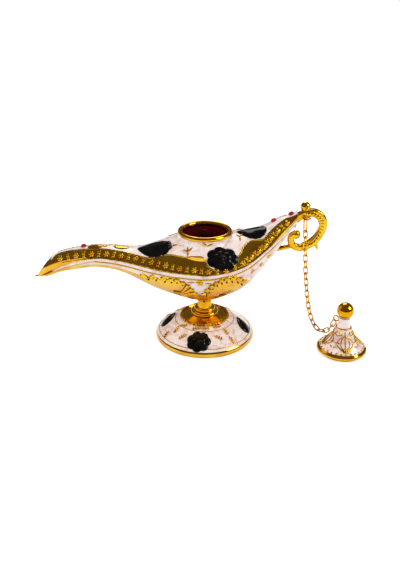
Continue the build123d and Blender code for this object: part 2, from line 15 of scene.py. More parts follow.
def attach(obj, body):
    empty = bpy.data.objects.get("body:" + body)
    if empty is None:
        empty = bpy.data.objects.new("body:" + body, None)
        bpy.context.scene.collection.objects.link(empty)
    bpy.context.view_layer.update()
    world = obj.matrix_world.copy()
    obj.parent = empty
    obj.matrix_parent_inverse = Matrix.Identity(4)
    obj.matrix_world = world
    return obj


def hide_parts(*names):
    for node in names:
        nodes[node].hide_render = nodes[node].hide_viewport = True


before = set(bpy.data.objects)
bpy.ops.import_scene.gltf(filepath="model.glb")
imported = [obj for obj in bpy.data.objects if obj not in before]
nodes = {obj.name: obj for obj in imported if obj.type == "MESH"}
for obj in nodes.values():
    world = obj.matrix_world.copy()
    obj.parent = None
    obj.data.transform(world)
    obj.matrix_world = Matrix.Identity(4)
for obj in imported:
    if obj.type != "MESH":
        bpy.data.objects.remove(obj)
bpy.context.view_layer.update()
mm = 0.001
x_axis, y_axis, z_axis = Vector((1, 0, 0)), Vector((0, 1, 0)), Vector((0, 0, 1))

# %% [markdown]
# The camera stands a little above the lamp and looks down on it, so that the mouth shows as
# an oval. Later steps place ornament where a line of sight meets a wall, so the camera's
# axes are kept as vectors.

# %% Camera
image_centre = Vector((200.0, 285.0))
focal_pixels = 610.3
long_side_pixels = 570.0
sensor = 36.0
nearest_seen = 5 * mm
eye = Vector((-2.55, -298.3, 169.9)) * mm
tilt = radians(25.15)
ahead = Vector((0, cos(tilt), -sin(tilt)))
upward = Vector((0, sin(tilt), cos(tilt)))

camera_data = bpy.data.cameras.new("camera")
camera_data.sensor_width = sensor
camera_data.lens = focal_pixels / long_side_pixels * sensor
camera_data.clip_start = nearest_seen
camera = bpy.data.objects.new("camera", camera_data)
camera.location = eye
camera.rotation_euler = (pi / 2 - tilt, 0, 0)
bpy.context.scene.collection.objects.link(camera)
bpy.context.scene.camera = camera
bpy.context.scene.view_settings.view_transform = "Standard"
print("lens", round(camera_data.lens, 2))

# %% [markdown]
# The lamp stands on a white floor in a soft even light. Polished gilt shows its
# surroundings, and in a studio it is bright where it mirrors the white table and brown
# where it mirrors the dark room above. A dark dome that only reflections can see stands for
# that room. Three soft boxes light the lamp, and two of them also show in reflections, as
# the bright patches on the knob and the rim. The floor glows a little for the camera alone,
# so that it is as white as the background.

# %% Floor, room and lights
white = (1, 1, 1, 1)
floor_reach = 40.0
floor_paint_colour = (0.90, 0.90, 0.90, 1)
floor_glow = 0.46
room_radius = 3.0
room_segments, room_rings = 48, 24
room_lower_edge = 0.12
room_colour = (0.20, 0.16, 0.12, 1)
room_strength = 0.6
seen_strength = 1.0
light_strength = 0.62
light_aim = Vector((0, 0, 0.04))
# For each soft box: its place and size in metres, its watts, and whether reflections show it
soft_boxes = (
    ("soft_box_left", (-0.75, -0.25, 0.60), 0.45, 3.6, False),
    ("soft_box_right", (0.75, -0.25, 0.60), 0.45, 3.6, True),
    ("soft_box_back", (0.05, 0.70, 0.75), 0.50, 2.2, True),
)


def everything(form):
    """All of a form's geometry, as bmesh operators take it."""
    return form.verts[:] + form.edges[:] + form.faces[:]


def place_on_stage(name, build):
    """Makes a mesh object that belongs to the studio, not to the lamp."""
    form = bmesh.new()
    build(form)
    mesh = bpy.data.meshes.new(name)
    form.to_mesh(mesh)
    form.free()
    thing = bpy.data.objects.new(name, mesh)
    bpy.context.scene.collection.objects.link(thing)
    return thing


def emptied(holder):
    """A material or world with an empty node tree."""
    holder.use_nodes = True
    holder.node_tree.nodes.clear()
    return holder


def add_node(material, kind, links=None, **settings):
    """Adds a node, sets its options, and sets or links its sockets."""
    node = material.node_tree.nodes.new(kind)
    for option, value in settings.items():
        setattr(node, option, value)
    for socket, value in (links or {}).items():
        if isinstance(value, bpy.types.NodeSocket):
            material.node_tree.links.new(value, node.inputs[socket])
        else:
            node.inputs[socket].default_value = value
    return node


def maths(material, operation, first, second=0.0):
    """The result of one sum on two values."""
    return add_node(material, "ShaderNodeMath", {0: first, 1: second}, operation=operation).outputs[0]


def build_floor(form):
    """One large square."""
    bmesh.ops.create_grid(form, x_segments=1, y_segments=1, size=floor_reach)


def build_dome(form):
    """The upper part of a large sphere."""
    bmesh.ops.create_uvsphere(form, u_segments=room_segments, v_segments=room_rings, radius=room_radius)
    bmesh.ops.bisect_plane(
        form, geom=everything(form), plane_co=z_axis * room_lower_edge, plane_no=z_axis, clear_inner=True,
    )


floor = place_on_stage("floor", build_floor)
floor_finish = emptied(bpy.data.materials.new("white_floor"))
floor_paint = add_node(floor_finish, "ShaderNodeBsdfDiffuse", {"Color": floor_paint_colour})
floor_rays = add_node(floor_finish, "ShaderNodeLightPath").outputs
floor_lift = maths(floor_finish, "MULTIPLY", floor_rays["Is Camera Ray"], floor_glow)
floor_white = add_node(floor_finish, "ShaderNodeEmission", {"Color": white, "Strength": floor_lift})
floor_sum = {0: floor_paint.outputs[0], 1: floor_white.outputs[0]}
floor_mix = add_node(floor_finish, "ShaderNodeAddShader", floor_sum)
add_node(floor_finish, "ShaderNodeOutputMaterial", {"Surface": floor_mix.outputs[0]})
floor.data.materials.append(floor_finish)

room = place_on_stage("dark_room", build_dome)
room.visible_camera = False
room.visible_diffuse = False
room.visible_transmission = False
room.visible_shadow = False
room_finish = emptied(bpy.data.materials.new("dark_room"))
room_glow = add_node(room_finish, "ShaderNodeEmission", {"Color": room_colour, "Strength": room_strength})
add_node(room_finish, "ShaderNodeOutputMaterial", {"Surface": room_glow.outputs[0]})
room.data.materials.append(room_finish)

world = emptied(bpy.data.worlds.new("studio"))
bpy.context.scene.world = world
rays = add_node(world, "ShaderNodeLightPath").outputs
seen = maths(world, "MAXIMUM", rays["Is Camera Ray"], rays["Is Glossy Ray"])
seen = maths(world, "MAXIMUM", seen, rays["Is Transmission Ray"])
shown = add_node(world, "ShaderNodeBackground", {"Color": white, "Strength": seen_strength})
soft_light = add_node(world, "ShaderNodeBackground", {"Color": white, "Strength": light_strength})
mixed = add_node(world, "ShaderNodeMixShader", {0: seen, 1: soft_light.outputs[0], 2: shown.outputs[0]})
add_node(world, "ShaderNodeOutputWorld", {"Surface": mixed.outputs[0]})

for name, place, size, watts, mirrored in soft_boxes:
    lamp_data = bpy.data.lights.new(name, "AREA")
    lamp_data.shape = "SQUARE"
    lamp_data.size = size
    lamp_data.energy = watts
    box_light = bpy.data.objects.new(name, lamp_data)
    box_light.location = place
    box_light.rotation_euler = (light_aim - Vector(place)).to_track_quat("-Z", "Y").to_euler()
    box_light.visible_glossy = mirrored
    bpy.context.scene.collection.objects.link(box_light)
print("studio ready")

# %% [markdown]
# Finishes. The gilt is metal with a slightly uneven polish. The pearl enamel is a pale pink
# field with cloudy veins under a clear coat. Where gilt bands and pearl fields share one
# casting, a mask that follows the lamp's own coordinates chooses between the two. Scales are
# in features per metre.

# %% Finishes
gilt_bright = (0.93, 0.57, 0.028)
gilt_deep = (0.80, 0.36, 0.008)
gilt_stops = ((0.35, gilt_deep), (0.62, gilt_bright))
gilt_cloud_scale = 140
polish_scale = 420
polish_range = (0.3, 0.7)
cast_grain_scale = 1500
cast_grain_depth = 0.05 * mm

pearl_pale = (0.84, 0.68, 0.62)
pearl_white = (0.88, 0.79, 0.75)
pearl_pink = (0.66, 0.43, 0.38)
pearl_stops = ((0.30, pearl_pink), (0.62, pearl_white), (0.46, pearl_pale))
vein_scale, vein_detail, vein_distortion = 170, 6.0, 1.6
enamel_roughness = 0.28
enamel_grain_scale = 1300
enamel_grain = 0.12
enamel_grain_depth = 0.08 * mm

black_stops = ((0.3, (0.001, 0.001, 0.001)), (0.8, (0.006, 0.006, 0.007)))
black_cloud_scale, black_wave_scale = 260, 700
black_wave, black_wave_depth = 0.25, 0.1 * mm
crystal_stops = ((0.35, (0.32, 0.0, 0.01)), (0.7, (0.75, 0.02, 0.03)))
crystal_cloud_scale = 600
lining_stops = ((0.3, (0.05, 0.002, 0.004)), (0.75, (0.16, 0.006, 0.006)))
lining_cloud_scale = 120


def new_finish(name, **sockets):
    """A material with its shader's uniform values set on the shader."""
    material = bpy.data.materials.new(name)
    material.use_nodes = True
    shader = material.node_tree.nodes["Principled BSDF"]
    for socket, value in sockets.items():
        shader.inputs[socket.replace("_", " ")].default_value = value
    return material


def join(material, output, socket):
    """Links an output to a socket of the material's shader."""
    shader = material.node_tree.nodes["Principled BSDF"]
    material.node_tree.links.new(output, shader.inputs[socket])


def coordinates(material):
    """The lamp's own coordinates, in metres."""
    return add_node(material, "ShaderNodeTexCoord").outputs["Object"]


def axis_value(material, place, axis):
    """One of a place's three coordinates."""
    return add_node(material, "ShaderNodeSeparateXYZ", {"Vector": place}).outputs[axis]


def noise(material, place, scale, detail=4.0, distortion=0.0):
    """Cloudy values over the surface."""
    sockets = {"Vector": place, "Scale": scale, "Detail": detail, "Distortion": distortion}
    return add_node(material, "ShaderNodeTexNoise", sockets).outputs["Fac"]


def ramp(material, value, stops):
    """Colours at places along a value."""
    node = add_node(material, "ShaderNodeValToRGB", {"Fac": value})
    elements = node.color_ramp.elements
    for number, (position, colour) in enumerate(stops):
        element = elements[number] if number < 2 else elements.new(position)
        element.position = position
        element.color = (*colour, 1)
    return node.outputs["Color"]


def stretch(material, value, low, high, new_low, new_high):
    """A value moved from one range to another."""
    sockets = {"Value": value, "From Min": low, "From Max": high, "To Min": new_low, "To Max": new_high}
    return add_node(material, "ShaderNodeMapRange", sockets).outputs["Result"]


def step(material, value, edge, soft):
    """0 below an edge and 1 above it, with a soft change over a short way."""
    return stretch(material, maths(material, "SUBTRACT", value, edge), -soft, soft, 0.0, 1.0)


def bump(material, height, strength, distance):
    """A normal that follows a height."""
    sockets = {"Height": height, "Strength": strength, "Distance": distance}
    return add_node(material, "ShaderNodeBump", sockets).outputs["Normal"]


def mix_colour(material, factor, first, second):
    """The first colour where the factor is 0 and the second where it is 1."""
    # The colour sockets of this node are its numbers 6, 7 and 2, because other kinds share it
    node = add_node(material, "ShaderNodeMix", {0: factor, 6: first, 7: second}, data_type="RGBA")
    return node.outputs[2]


def gilt_colour(material, place):
    """Gold with deeper clouds."""
    return ramp(material, noise(material, place, gilt_cloud_scale), gilt_stops)


def pearl_colour(material, place):
    """Cloudy pink and white veins of pearl enamel."""
    return ramp(material, noise(material, place, vein_scale, vein_detail, vein_distortion), pearl_stops)


def make_gilt(name, roughness_low, roughness_high, grain):
    """Gilt metal with uneven polish and a fine cast grain."""
    material = new_finish(name, Metallic=1.0)
    place = coordinates(material)
    polish = noise(material, place, polish_scale)
    join(material, gilt_colour(material, place), "Base Color")
    join(material, stretch(material, polish, *polish_range, roughness_low, roughness_high), "Roughness")
    cast_grain = noise(material, place, cast_grain_scale)
    join(material, bump(material, cast_grain, grain, cast_grain_depth), "Normal")
    return material


def make_enamel(name, gilt_mask, metal_roughness=0.10, metal_grain=0.1):
    """Pearl enamel fields with gilt where the mask is 1."""
    material = new_finish(name, Coat_Weight=0.6, Coat_Roughness=0.06)
    place = coordinates(material)
    mask = gilt_mask(material, place)
    colour = mix_colour(material, mask, pearl_colour(material, place), gilt_colour(material, place))
    join(material, colour, "Base Color")
    join(material, mask, "Metallic")
    join(material, stretch(material, mask, 0, 1, enamel_roughness, metal_roughness), "Roughness")
    grain_share = stretch(material, mask, 0, 1, enamel_grain, metal_grain)
    grain = maths(material, "MULTIPLY", noise(material, place, enamel_grain_scale), grain_share)
    join(material, bump(material, grain, 1.0, enamel_grain_depth), "Normal")
    return material


def make_clouded(name, cloud_scale, stops, **sockets):
    """A finish whose colour clouds between the stops."""
    material = new_finish(name, **sockets)
    join(material, ramp(material, noise(material, coordinates(material), cloud_scale), stops), "Base Color")
    return material


polished_gilt = make_gilt("polished_gilt", roughness_low=0.06, roughness_high=0.14, grain=0.05)
cast_gilt = make_gilt("cast_gilt", roughness_low=0.16, roughness_high=0.30, grain=0.35)
# Black enamel for the roses and drops; the same black is also used as painted shade in the hollows of the
# bowl's fans
black_enamel = make_clouded(
    "black_enamel", black_cloud_scale, black_stops,
    IOR=1.28, Coat_Weight=0.25, Coat_IOR=1.3, Coat_Roughness=0.03, Roughness=0.12,
)
black_waves = noise(black_enamel, coordinates(black_enamel), black_wave_scale)
join(black_enamel, bump(black_enamel, black_waves, black_wave, black_wave_depth), "Normal")
red_crystal = make_clouded(
    "red_crystal", crystal_cloud_scale, crystal_stops, Roughness=0.04, IOR=1.7, Transmission_Weight=0.35,
)
red_enamel = make_clouded(
    "red_enamel", lining_cloud_scale, lining_stops, Coat_Weight=1.0, Coat_Roughness=0.05, Roughness=0.2,
)
print("finishes", len(bpy.data.materials))

# %% [markdown]
# The curved walls carry the ornament, so each gets a search tree that a line of sight can
# be cast against.

# %% Walls to lay ornament on
walls = {}
for name in ("upper_shell", "lower_shell", "foot", "lid_shell", "handle"):
    walls[name] = BVHTree.FromObject(nodes[name], bpy.context.evaluated_depsgraph_get())


def cast(wall, start, direction):
    """Where a ray meets a wall, with the wall's normal; None where it misses."""
    return walls[wall].ray_cast(start, direction)[:2]


def nearest(wall, place):
    """The wall's closest point to a place, with the wall's normal."""
    return walls[wall].find_nearest(place)[:2]


def spot(u, v, wall):
    """Where a line of sight through a picture point meets a wall, with the wall's normal."""
    across = u - image_centre.x
    rise = image_centre.y - v
    sight = (ahead * focal_pixels + x_axis * across + upward * rise).normalized()
    return cast(wall, eye, sight)


def seen_spots(picture_points, wall):
    """Places and normals behind picture points, leaving out those that miss the wall."""
    found = [spot(u, v, wall) for u, v in picture_points]
    return [(at, facing) for at, facing in found if at is not None]


def seen_places(picture_points, wall):
    """Places behind picture points, leaving out those that miss the wall."""
    return [at for at, _ in seen_spots(picture_points, wall)]


print("walls", len(walls))

# %% [markdown]
# The gilt band along each side of the deck has an inner edge that swells into cloud-shaped
# panels beside the rose. The edge is read as picture points on the near side, turned into
# places on the wall, and used on both sides through the distance from the middle line. The
# gilt keel under the bowl has an edge of the same kind, which is used through its height.

# %% Gilt and pearl on one casting
deck_edge_points = (
    (52, 259.5), (58, 254), (66, 251.5), (76, 250), (88, 249), (100, 248.8), (112, 249.8), (124, 252),
    (136, 255), (146, 257.5), (153, 257.6), (160, 255.4), (170, 254.6), (179, 256.2), (186, 257.6),
    (194, 256.6), (201, 257), (205, 260), (208, 266.5), (216, 270.5), (226, 270), (234, 266),
    (237, 258), (241, 253), (244, 246), (251, 241), (258, 240), (264, 238.8), (268, 234), (274, 228),
    (281, 222), (288, 217.6),
)
hull_edge_points = (
    (52, 271), (60, 269.3), (70, 267.3), (80, 265.6), (92, 264.8), (104, 265), (116, 267), (128, 270.5),
    (140, 274.8), (150, 276.5), (160, 277.6), (170, 277.6), (178, 279.5), (186, 283.4), (192, 288.3),
    (199.6, 294.5), (207, 288.5), (216, 281.6), (226, 277.6), (236, 276.3), (243, 277.8), (248, 280.5),
)
edge_low, edge_high = -92 * mm, 52 * mm
deck_half_width = 26 * mm
hull_height = 70 * mm
edge_soft, end_soft = 0.08 * mm, 0.1 * mm
deck_gilt_end, hull_gilt_end = -80.6 * mm, -81.5 * mm
foot_gilt_height = 3.3 * mm
lid_gilt_height = 3.6 * mm
keel_roughness, keel_grain = 0.24, 1.6

deck_edge = sorted((place.x, abs(place.y)) for place in seen_places(deck_edge_points, "upper_shell"))
hull_edge = sorted((place.x, place.z) for place in seen_places(hull_edge_points, "lower_shell"))
print("edge points", len(deck_edge), len(hull_edge))


def float_curve(material, value, points, top):
    """A curve node through the given points; gives the curve's height in metres."""
    share = stretch(material, value, edge_low, edge_high, 0.0, 1.0)
    node = add_node(material, "ShaderNodeFloatCurve", {"Value": share})
    curve = node.mapping.curves[0]
    spread = [((x - edge_low) / (edge_high - edge_low), y / top) for x, y in points]
    curve.points[0].location = (0.0, spread[0][1])
    curve.points[1].location = (1.0, spread[-1][1])
    for x, y in spread:
        curve.points.new(x, y)
    node.mapping.update()
    return maths(material, "MULTIPLY", node.outputs[0], top)


def deck_mask(material, place):
    """Gilt outside the deck's edge line and at the spout's end."""
    along = axis_value(material, place, "X")
    across = maths(material, "ABSOLUTE", axis_value(material, place, "Y"))
    edge = float_curve(material, along, deck_edge, deck_half_width)
    band_gilt = step(material, across, edge, edge_soft)
    return maths(material, "MAXIMUM", band_gilt, step(material, deck_gilt_end, along, end_soft))


def hull_mask(material, place):
    """Gilt below the keel's edge line and at the spout's end."""
    along = axis_value(material, place, "X")
    height = axis_value(material, place, "Z")
    edge = float_curve(material, along, hull_edge, hull_height)
    keel_gilt = step(material, edge, height, edge_soft)
    return maths(material, "MAXIMUM", keel_gilt, step(material, hull_gilt_end, along, end_soft))


def foot_mask(material, place):
    """Gilt round the foot's rim."""
    return step(material, foot_gilt_height, axis_value(material, place, "Z"), edge_soft)


def lid_mask(material, place):
    """Gilt round the lid's lower edge."""
    return step(material, lid_gilt_height, axis_value(material, place, "Z"), edge_soft)


# %% [markdown]
# Every piece of the frame gets its finish here.

# %% Finishes on the frame
special = {
    "upper_shell": make_enamel("deck_enamel", deck_mask),
    "lower_shell": make_enamel("hull_enamel", hull_mask, keel_roughness, keel_grain),
    "foot": make_enamel("foot_enamel", foot_mask),
    "lid_shell": make_enamel("lid_enamel", lid_mask),
}
for name, node in nodes.items():
    if name in special:
        finish = special[name]
    elif name.startswith("gem"):
        finish = red_crystal
    elif "rose" in name or "drop" in name or "bud" in name:
        finish = black_enamel
    elif name.startswith("chain") or name == "handle":
        finish = cast_gilt
    else:
        finish = polished_gilt
    node.data.materials.clear()
    node.data.materials.append(finish)
print("finished nodes", len(nodes))

# %% [markdown]
# Ornament is built flat, with x and y along the wall and z as its height, and is then pressed
# on to the wall: each vertex is moved down on to the wall and lifted by its own height. What
# the near side shows is repeated on the far side, because the lamp is alike on both sides.

# %% Tools for ornament
press_from = 5 * mm
bead_subdivisions = 2
leaf_segments, leaf_rings = 16, 8
leaf_under_share = -0.15
leaf_ridges = 3
wire_rows = 6
wire_sunk = 0.04 * mm
rope_low_share, rope_swell_share = 0.72, 0.28


def leaf(form, length, width, height, turn=0.0, place=(0, 0), narrow=0.7, ridges=0.0):
    """A domed leaf that starts at a place and runs along its turn, towards its narrow end."""
    made = bmesh.ops.create_uvsphere(
        form, u_segments=leaf_segments, v_segments=leaf_rings, radius=1.0,
    )["verts"]
    for vert in made:
        x, y, z = vert.co
        along = (x + 1) / 2
        half = width / 2 * (1 - narrow * along**2)
        lift = max(z, leaf_under_share) * (1 + ridges * cos(y * leaf_ridges * pi))
        vert.co = Vector((along * length, y * half, lift * height))
    bmesh.ops.rotate(form, verts=made, cent=(0, 0, 0), matrix=Matrix.Rotation(turn, 3, "Z"))
    bmesh.ops.translate(form, verts=made, vec=(*place, 0))


def bead(form, radius, height, place=(0, 0)):
    """A small domed bead."""
    made = bmesh.ops.create_icosphere(form, subdivisions=bead_subdivisions, radius=1.0)["verts"]
    bmesh.ops.scale(form, verts=made, vec=(radius, radius, height))
    bmesh.ops.translate(form, verts=made, vec=(*place, 0))


def blossom(petals, length, width, height, heart_radius, heart_height, narrow):
    """Leaves round a bead."""
    form = bmesh.new()
    bead(form, heart_radius, heart_height)
    for number in range(petals):
        leaf(form, length, width, height, 2 * pi * number / petals, (0, 0), narrow)
    return form


def press(form, wall, at, facing, heading=0.0):
    """Lays a flat form on a wall at a place."""
    side = (x_axis - facing * facing.x).normalized()
    up = facing.cross(side)
    along = side * cos(heading) + up * sin(heading)
    across = up * cos(heading) - side * sin(heading)
    for vert in form.verts:
        start = at + along * vert.co.x + across * vert.co.y
        hit, normal = cast(wall, start + facing * press_from, -facing)
        if hit is None:
            hit, normal = start, facing
        vert.co = hit + normal * vert.co.z


def lay(whole, form, wall, at, facing, heading=0.0):
    """Presses a small form on a wall and moves it into the whole ornament."""
    press(form, wall, at, facing, heading)
    mesh = bpy.data.meshes.new("small")
    form.to_mesh(mesh)
    form.free()
    whole.from_mesh(mesh)
    bpy.data.meshes.remove(mesh)


def lay_bead(whole, wall, at, facing, radius, height):
    """Lays one bead on a wall."""
    form = bmesh.new()
    bead(form, radius, height)
    lay(whole, form, wall, at, facing)


def curve_at(points, share):
    """A smooth curve through points, and its direction, at a share of its way."""
    last = len(points) - 1
    scaled = share * last
    number = min(int(scaled), last - 1)
    rest = scaled - number
    before, first, second, after = (points[max(0, min(last, number + k))] for k in (-1, 0, 1, 2))
    start_pull = (second - before) / 2
    end_pull = (after - first) / 2
    square, cube = rest**2, rest**3
    place = (
        first * (2 * cube - 3 * square + 1) + start_pull * (cube - 2 * square + rest)
        + second * (3 * square - 2 * cube) + end_pull * (cube - square)
    )
    run = (
        first * (6 * square - 6 * rest) + start_pull * (3 * square - 4 * rest + 1)
        + second * (6 * rest - 6 * square) + end_pull * (3 * square - 2 * rest)
    )
    return place, run.normalized()


def wire(form, wall, points, width, height, steps=8, twist=0.0, end_width=None):
    """A rounded wire over a wall, through places on it; a twist makes it a rope."""
    end_width = width if end_width is None else end_width
    count = (len(points) - 1) * steps
    made = bmesh.ops.create_grid(form, x_segments=count, y_segments=wire_rows, size=1.0)["verts"]
    length = sum((b - a).length for a, b in zip(points, points[1:]))
    for vert in made:
        share = (vert.co.x + 1) / 2
        across = vert.co.y
        place, run = curve_at(points, share)
        hit, normal = nearest(wall, place)
        aside = run.cross(normal).normalized()
        wide = width + (end_width - width) * share
        lift = height * (1 - across**2) ** 0.5
        if twist:
            turns = share * length / twist + across / 2
            lift *= rope_low_share + rope_swell_share * cos(2 * pi * turns)
        vert.co = hit + aside * across * wide / 2 + normal * (lift - wire_sunk)


def make_piece(name, form, material, both_sides=False, stands_for=()):
    """Turns a form into a piece of the lamp that rides on its body."""
    if both_sides:
        copied = bmesh.ops.duplicate(form, geom=everything(form))["geom"]
        for part in copied:
            if isinstance(part, bmesh.types.BMVert):
                part.co.y = -part.co.y
        far_faces = [part for part in copied if isinstance(part, bmesh.types.BMFace)]
        bmesh.ops.reverse_faces(form, faces=far_faces)
    for face in form.faces:
        face.smooth = True
    mesh = bpy.data.meshes.new(name)
    form.to_mesh(mesh)
    form.free()
    mesh.materials.append(material)
    piece = bpy.data.objects.new(name, mesh)
    bpy.context.scene.collection.objects.link(piece)
    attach(piece, "lid" if name.startswith("lid") else "lamp")
    if stands_for:
        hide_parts(*stands_for)
    print(name, len(mesh.polygons))
    return piece


# %% [markdown]
# The black roses, the bud on the spout and the drops are thick shiny enamel. Each rose has
# three rings of rounded petals, and the bud and the drops carry ridges along their length.

# %% Black relief
# For each ring: its share of the rose's half size, its petals, a petal's share, its height in mm
rose_ring_shares = ((0.58, 7, 0.44, 0.8), (0.32, 5, 0.36, 1.2), (0.12, 3, 0.22, 1.6))
petal_segments, petal_rings = 16, 10
petal_width_share = 1.2
rose_heart_share = 0.12
rose_heart_height = 2.1 * mm
drop_height = 1.1 * mm
drop_narrow, drop_ridge = 0.6, 0.1
lobe_size_share, lobe_height_share, lobe_back_share, lobe_spread_share = 0.3, 0.8, 0.3, 0.62
lobe_fan = 1.3
roses = (
    ("deck_roses", ("deck_rose_front", "deck_rose_back"), (222.5, 258.8), "upper_shell", 8.1, 6.2),
    ("foot_roses", ("foot_rose_front", "foot_rose_back"), (198.6, 341.6), "foot", 6.4, 5.6),
)
drops = (
    ("spout_bud_relief", ("spout_bud",), (153.2, 248.2), "upper_shell", 18.8, 14.2, 162, 4),
    ("tail_drop_relief", ("tail_drop",), (251.5, 232.0), "upper_shell", 16.6, 12.4, 162, 0),
    ("foot_drops_left", ("foot_drop_left_front", "foot_drop_left_back"),
     (168.8, 318.8), "foot", 12.8, 8.6, 49, 0),
    ("foot_drops_right", ("foot_drop_right_front", "foot_drop_right_back"),
     (242.6, 324.4), "foot", 12.6, 8.8, 122, 0),
)


def rose(half_length, half_width):
    """A full rose, flat."""
    form = bmesh.new()
    for ring, (share, count, size, height) in enumerate(rose_ring_shares):
        for number in range(count):
            angle = 2 * pi / count * (number + ring / 2)
            petal = bmesh.ops.create_uvsphere(
                form, u_segments=petal_segments, v_segments=petal_rings, radius=1.0,
            )["verts"]
            half_sizes = (size * half_length, size * half_width * petal_width_share, height * mm)
            bmesh.ops.scale(form, verts=petal, vec=half_sizes)
            place = (half_length * share * cos(angle), half_width * share * sin(angle), 0)
            bmesh.ops.translate(form, verts=petal, vec=place)
    bead(form, half_length * rose_heart_share, rose_heart_height)
    return form


def drop(length, width, lobes):
    """A flat drop with ridges, centred on its place, with small lobes round its blunt end."""
    form = bmesh.new()
    leaf(form, length, width, drop_height, 0.0, (-length / 2, 0), drop_narrow, drop_ridge)
    for number in range(lobes):
        spread = (number - (lobes - 1) / 2) / (lobes - 1)
        place = (-length * lobe_back_share, spread * width * lobe_spread_share)
        leaf(form, length * lobe_size_share, width * lobe_size_share, drop_height * lobe_height_share,
             pi + spread * lobe_fan, place, drop_narrow)
    return form


for name, stands_for, picture, wall, half_length, half_width in roses:
    form = rose(half_length * mm, half_width * mm)
    press(form, wall, *spot(*picture, wall))
    make_piece(name, form, black_enamel, True, stands_for)
for name, stands_for, picture, wall, length, width, heading, lobes in drops:
    form = drop(length * mm, width * mm, lobes)
    press(form, wall, *spot(*picture, wall), radians(heading))
    make_piece(name, form, black_enamel, False, stands_for)

# %% [markdown]
# Along each side of the deck runs a gilt band of small daisies, which become round coins
# towards the handle. Four leaves stand between each two, and a rope runs along each edge.

# %% Deck band
daisy_points = (
    (60.1, 258.4), (75.8, 255.6), (91.3, 253.9), (106.3, 253.9), (120.9, 255.6), (135.7, 258.1),
    (151.3, 262), (165.7, 265.5), (179.7, 268.6), (194.3, 270.3), (208.3, 271.8), (226, 271.4),
    (243, 263.1), (251.4, 256.7), (258.8, 250.9), (265.2, 245.3), (270.6, 237.8), (277.3, 230.8),
    (286.9, 223.1),
)
low_edge_points = (
    (62, 262.5), (78, 260.2), (92, 259.0), (106, 259.4), (120, 261.2), (134, 264.4), (150, 268.2),
    (165, 271.4), (180, 273.8), (195, 275.2), (212, 275.6), (228, 274.2), (241, 269.6), (252, 262.6),
)
coins_from = 19 * mm
coin_radius, coin_height = 1.6 * mm, 0.35 * mm
coin_dome_radius, coin_dome_height = 1.05 * mm, 0.85 * mm
daisy_sizes = {
    "petals": 6, "length": 1.7 * mm, "width": 1.0 * mm, "height": 0.6 * mm,
    "heart_radius": 0.55 * mm, "heart_height": 0.9 * mm, "narrow": 0.1,
}
widest_gap = 11 * mm
gap_leaf_length, gap_leaf_width, gap_leaf_height = 2.5 * mm, 1.0 * mm, 0.5 * mm
gap_leaf_turn = 0.75
gap_leaf_shift_share = 0.1
gap_bead_radius, gap_bead_height = 0.4 * mm, 0.6 * mm
rope_steps = 10
inner_rope_width, inner_rope_height, inner_rope_twist = 0.75 * mm, 0.4 * mm, 1.5 * mm
outer_rope_width, outer_rope_height, outer_rope_twist = 0.6 * mm, 0.34 * mm, 1.2 * mm


def coin():
    """A flat round coin with a dome on it."""
    form = bmesh.new()
    bead(form, coin_radius, coin_height)
    bead(form, coin_dome_radius, coin_dome_height)
    return form


def gap_leaves(gap):
    """Two leaves towards each neighbour, round a bead."""
    form = bmesh.new()
    shift = gap_leaf_shift_share * gap
    for about, start in ((0, -shift), (pi, shift)):
        for turn in (about + gap_leaf_turn, about - gap_leaf_turn):
            leaf(form, gap_leaf_length, gap_leaf_width, gap_leaf_height, turn, (start, 0))
    bead(form, gap_bead_radius, gap_bead_height)
    return form


band = bmesh.new()
daisy_spots = seen_spots(daisy_points, "upper_shell")
for at, facing in daisy_spots:
    lay(band, coin() if at.x > coins_from else blossom(**daisy_sizes), "upper_shell", at, facing)
for (first, first_facing), (second, second_facing) in zip(daisy_spots, daisy_spots[1:]):
    run = second - first
    if run.length > widest_gap:
        continue
    facing = (first_facing + second_facing).normalized()
    side = (x_axis - facing * facing.x).normalized()
    heading = run.normalized().dot(facing.cross(side))
    lay(band, gap_leaves(run.length), "upper_shell", (first + second) / 2, facing, heading)
wire(band, "upper_shell", seen_places(deck_edge_points, "upper_shell"),
     inner_rope_width, inner_rope_height, rope_steps, inner_rope_twist)
wire(band, "upper_shell", seen_places(low_edge_points, "upper_shell"),
     outer_rope_width, outer_rope_height, rope_steps, outer_rope_twist)
make_piece("deck_band_ornament", band, cast_gilt, True)

# %% [markdown]
# Small gilt leaves and a row of dots stand in the pearl fields of the deck. Those on the
# ridge are made once, and the others on both sides.

# %% Deck scrolls
spray_places = (
    (95.5, 246.2, (0, pi)), (122, 247.0, (0.1, pi)), (188, 252, (0.7, 1.6, 2.5, 4.7)),
    (208, 246, (0.4, 2.7)), (240, 237, (1.0, 2.2, 4.7)), (172, 246.4, (0.2, pi)),
    (105, 246.6, (0.6, 2.6)), (140, 238.6, (0.2, 2.9)),
)
broad_leaf_points = ((95.7, 246.4), (121.8, 247.4))
dot_points = [(170.4 + 3.2 * number, 244.1 + 0.5 * number) for number in range(5)]
ridge_half_width = 2.5 * mm
spray_bead_radius, spray_bead_height = 0.5 * mm, 0.6 * mm
spray_leaf_length, spray_leaf_width, spray_leaf_height = 3.4 * mm, 1.1 * mm, 0.45 * mm
broad_leaf_length, broad_leaf_width, broad_leaf_height = 8.8 * mm, 4.6 * mm, 0.5 * mm
broad_leaf_narrow = 0.45
dot_radius, dot_height = 0.35 * mm, 0.4 * mm

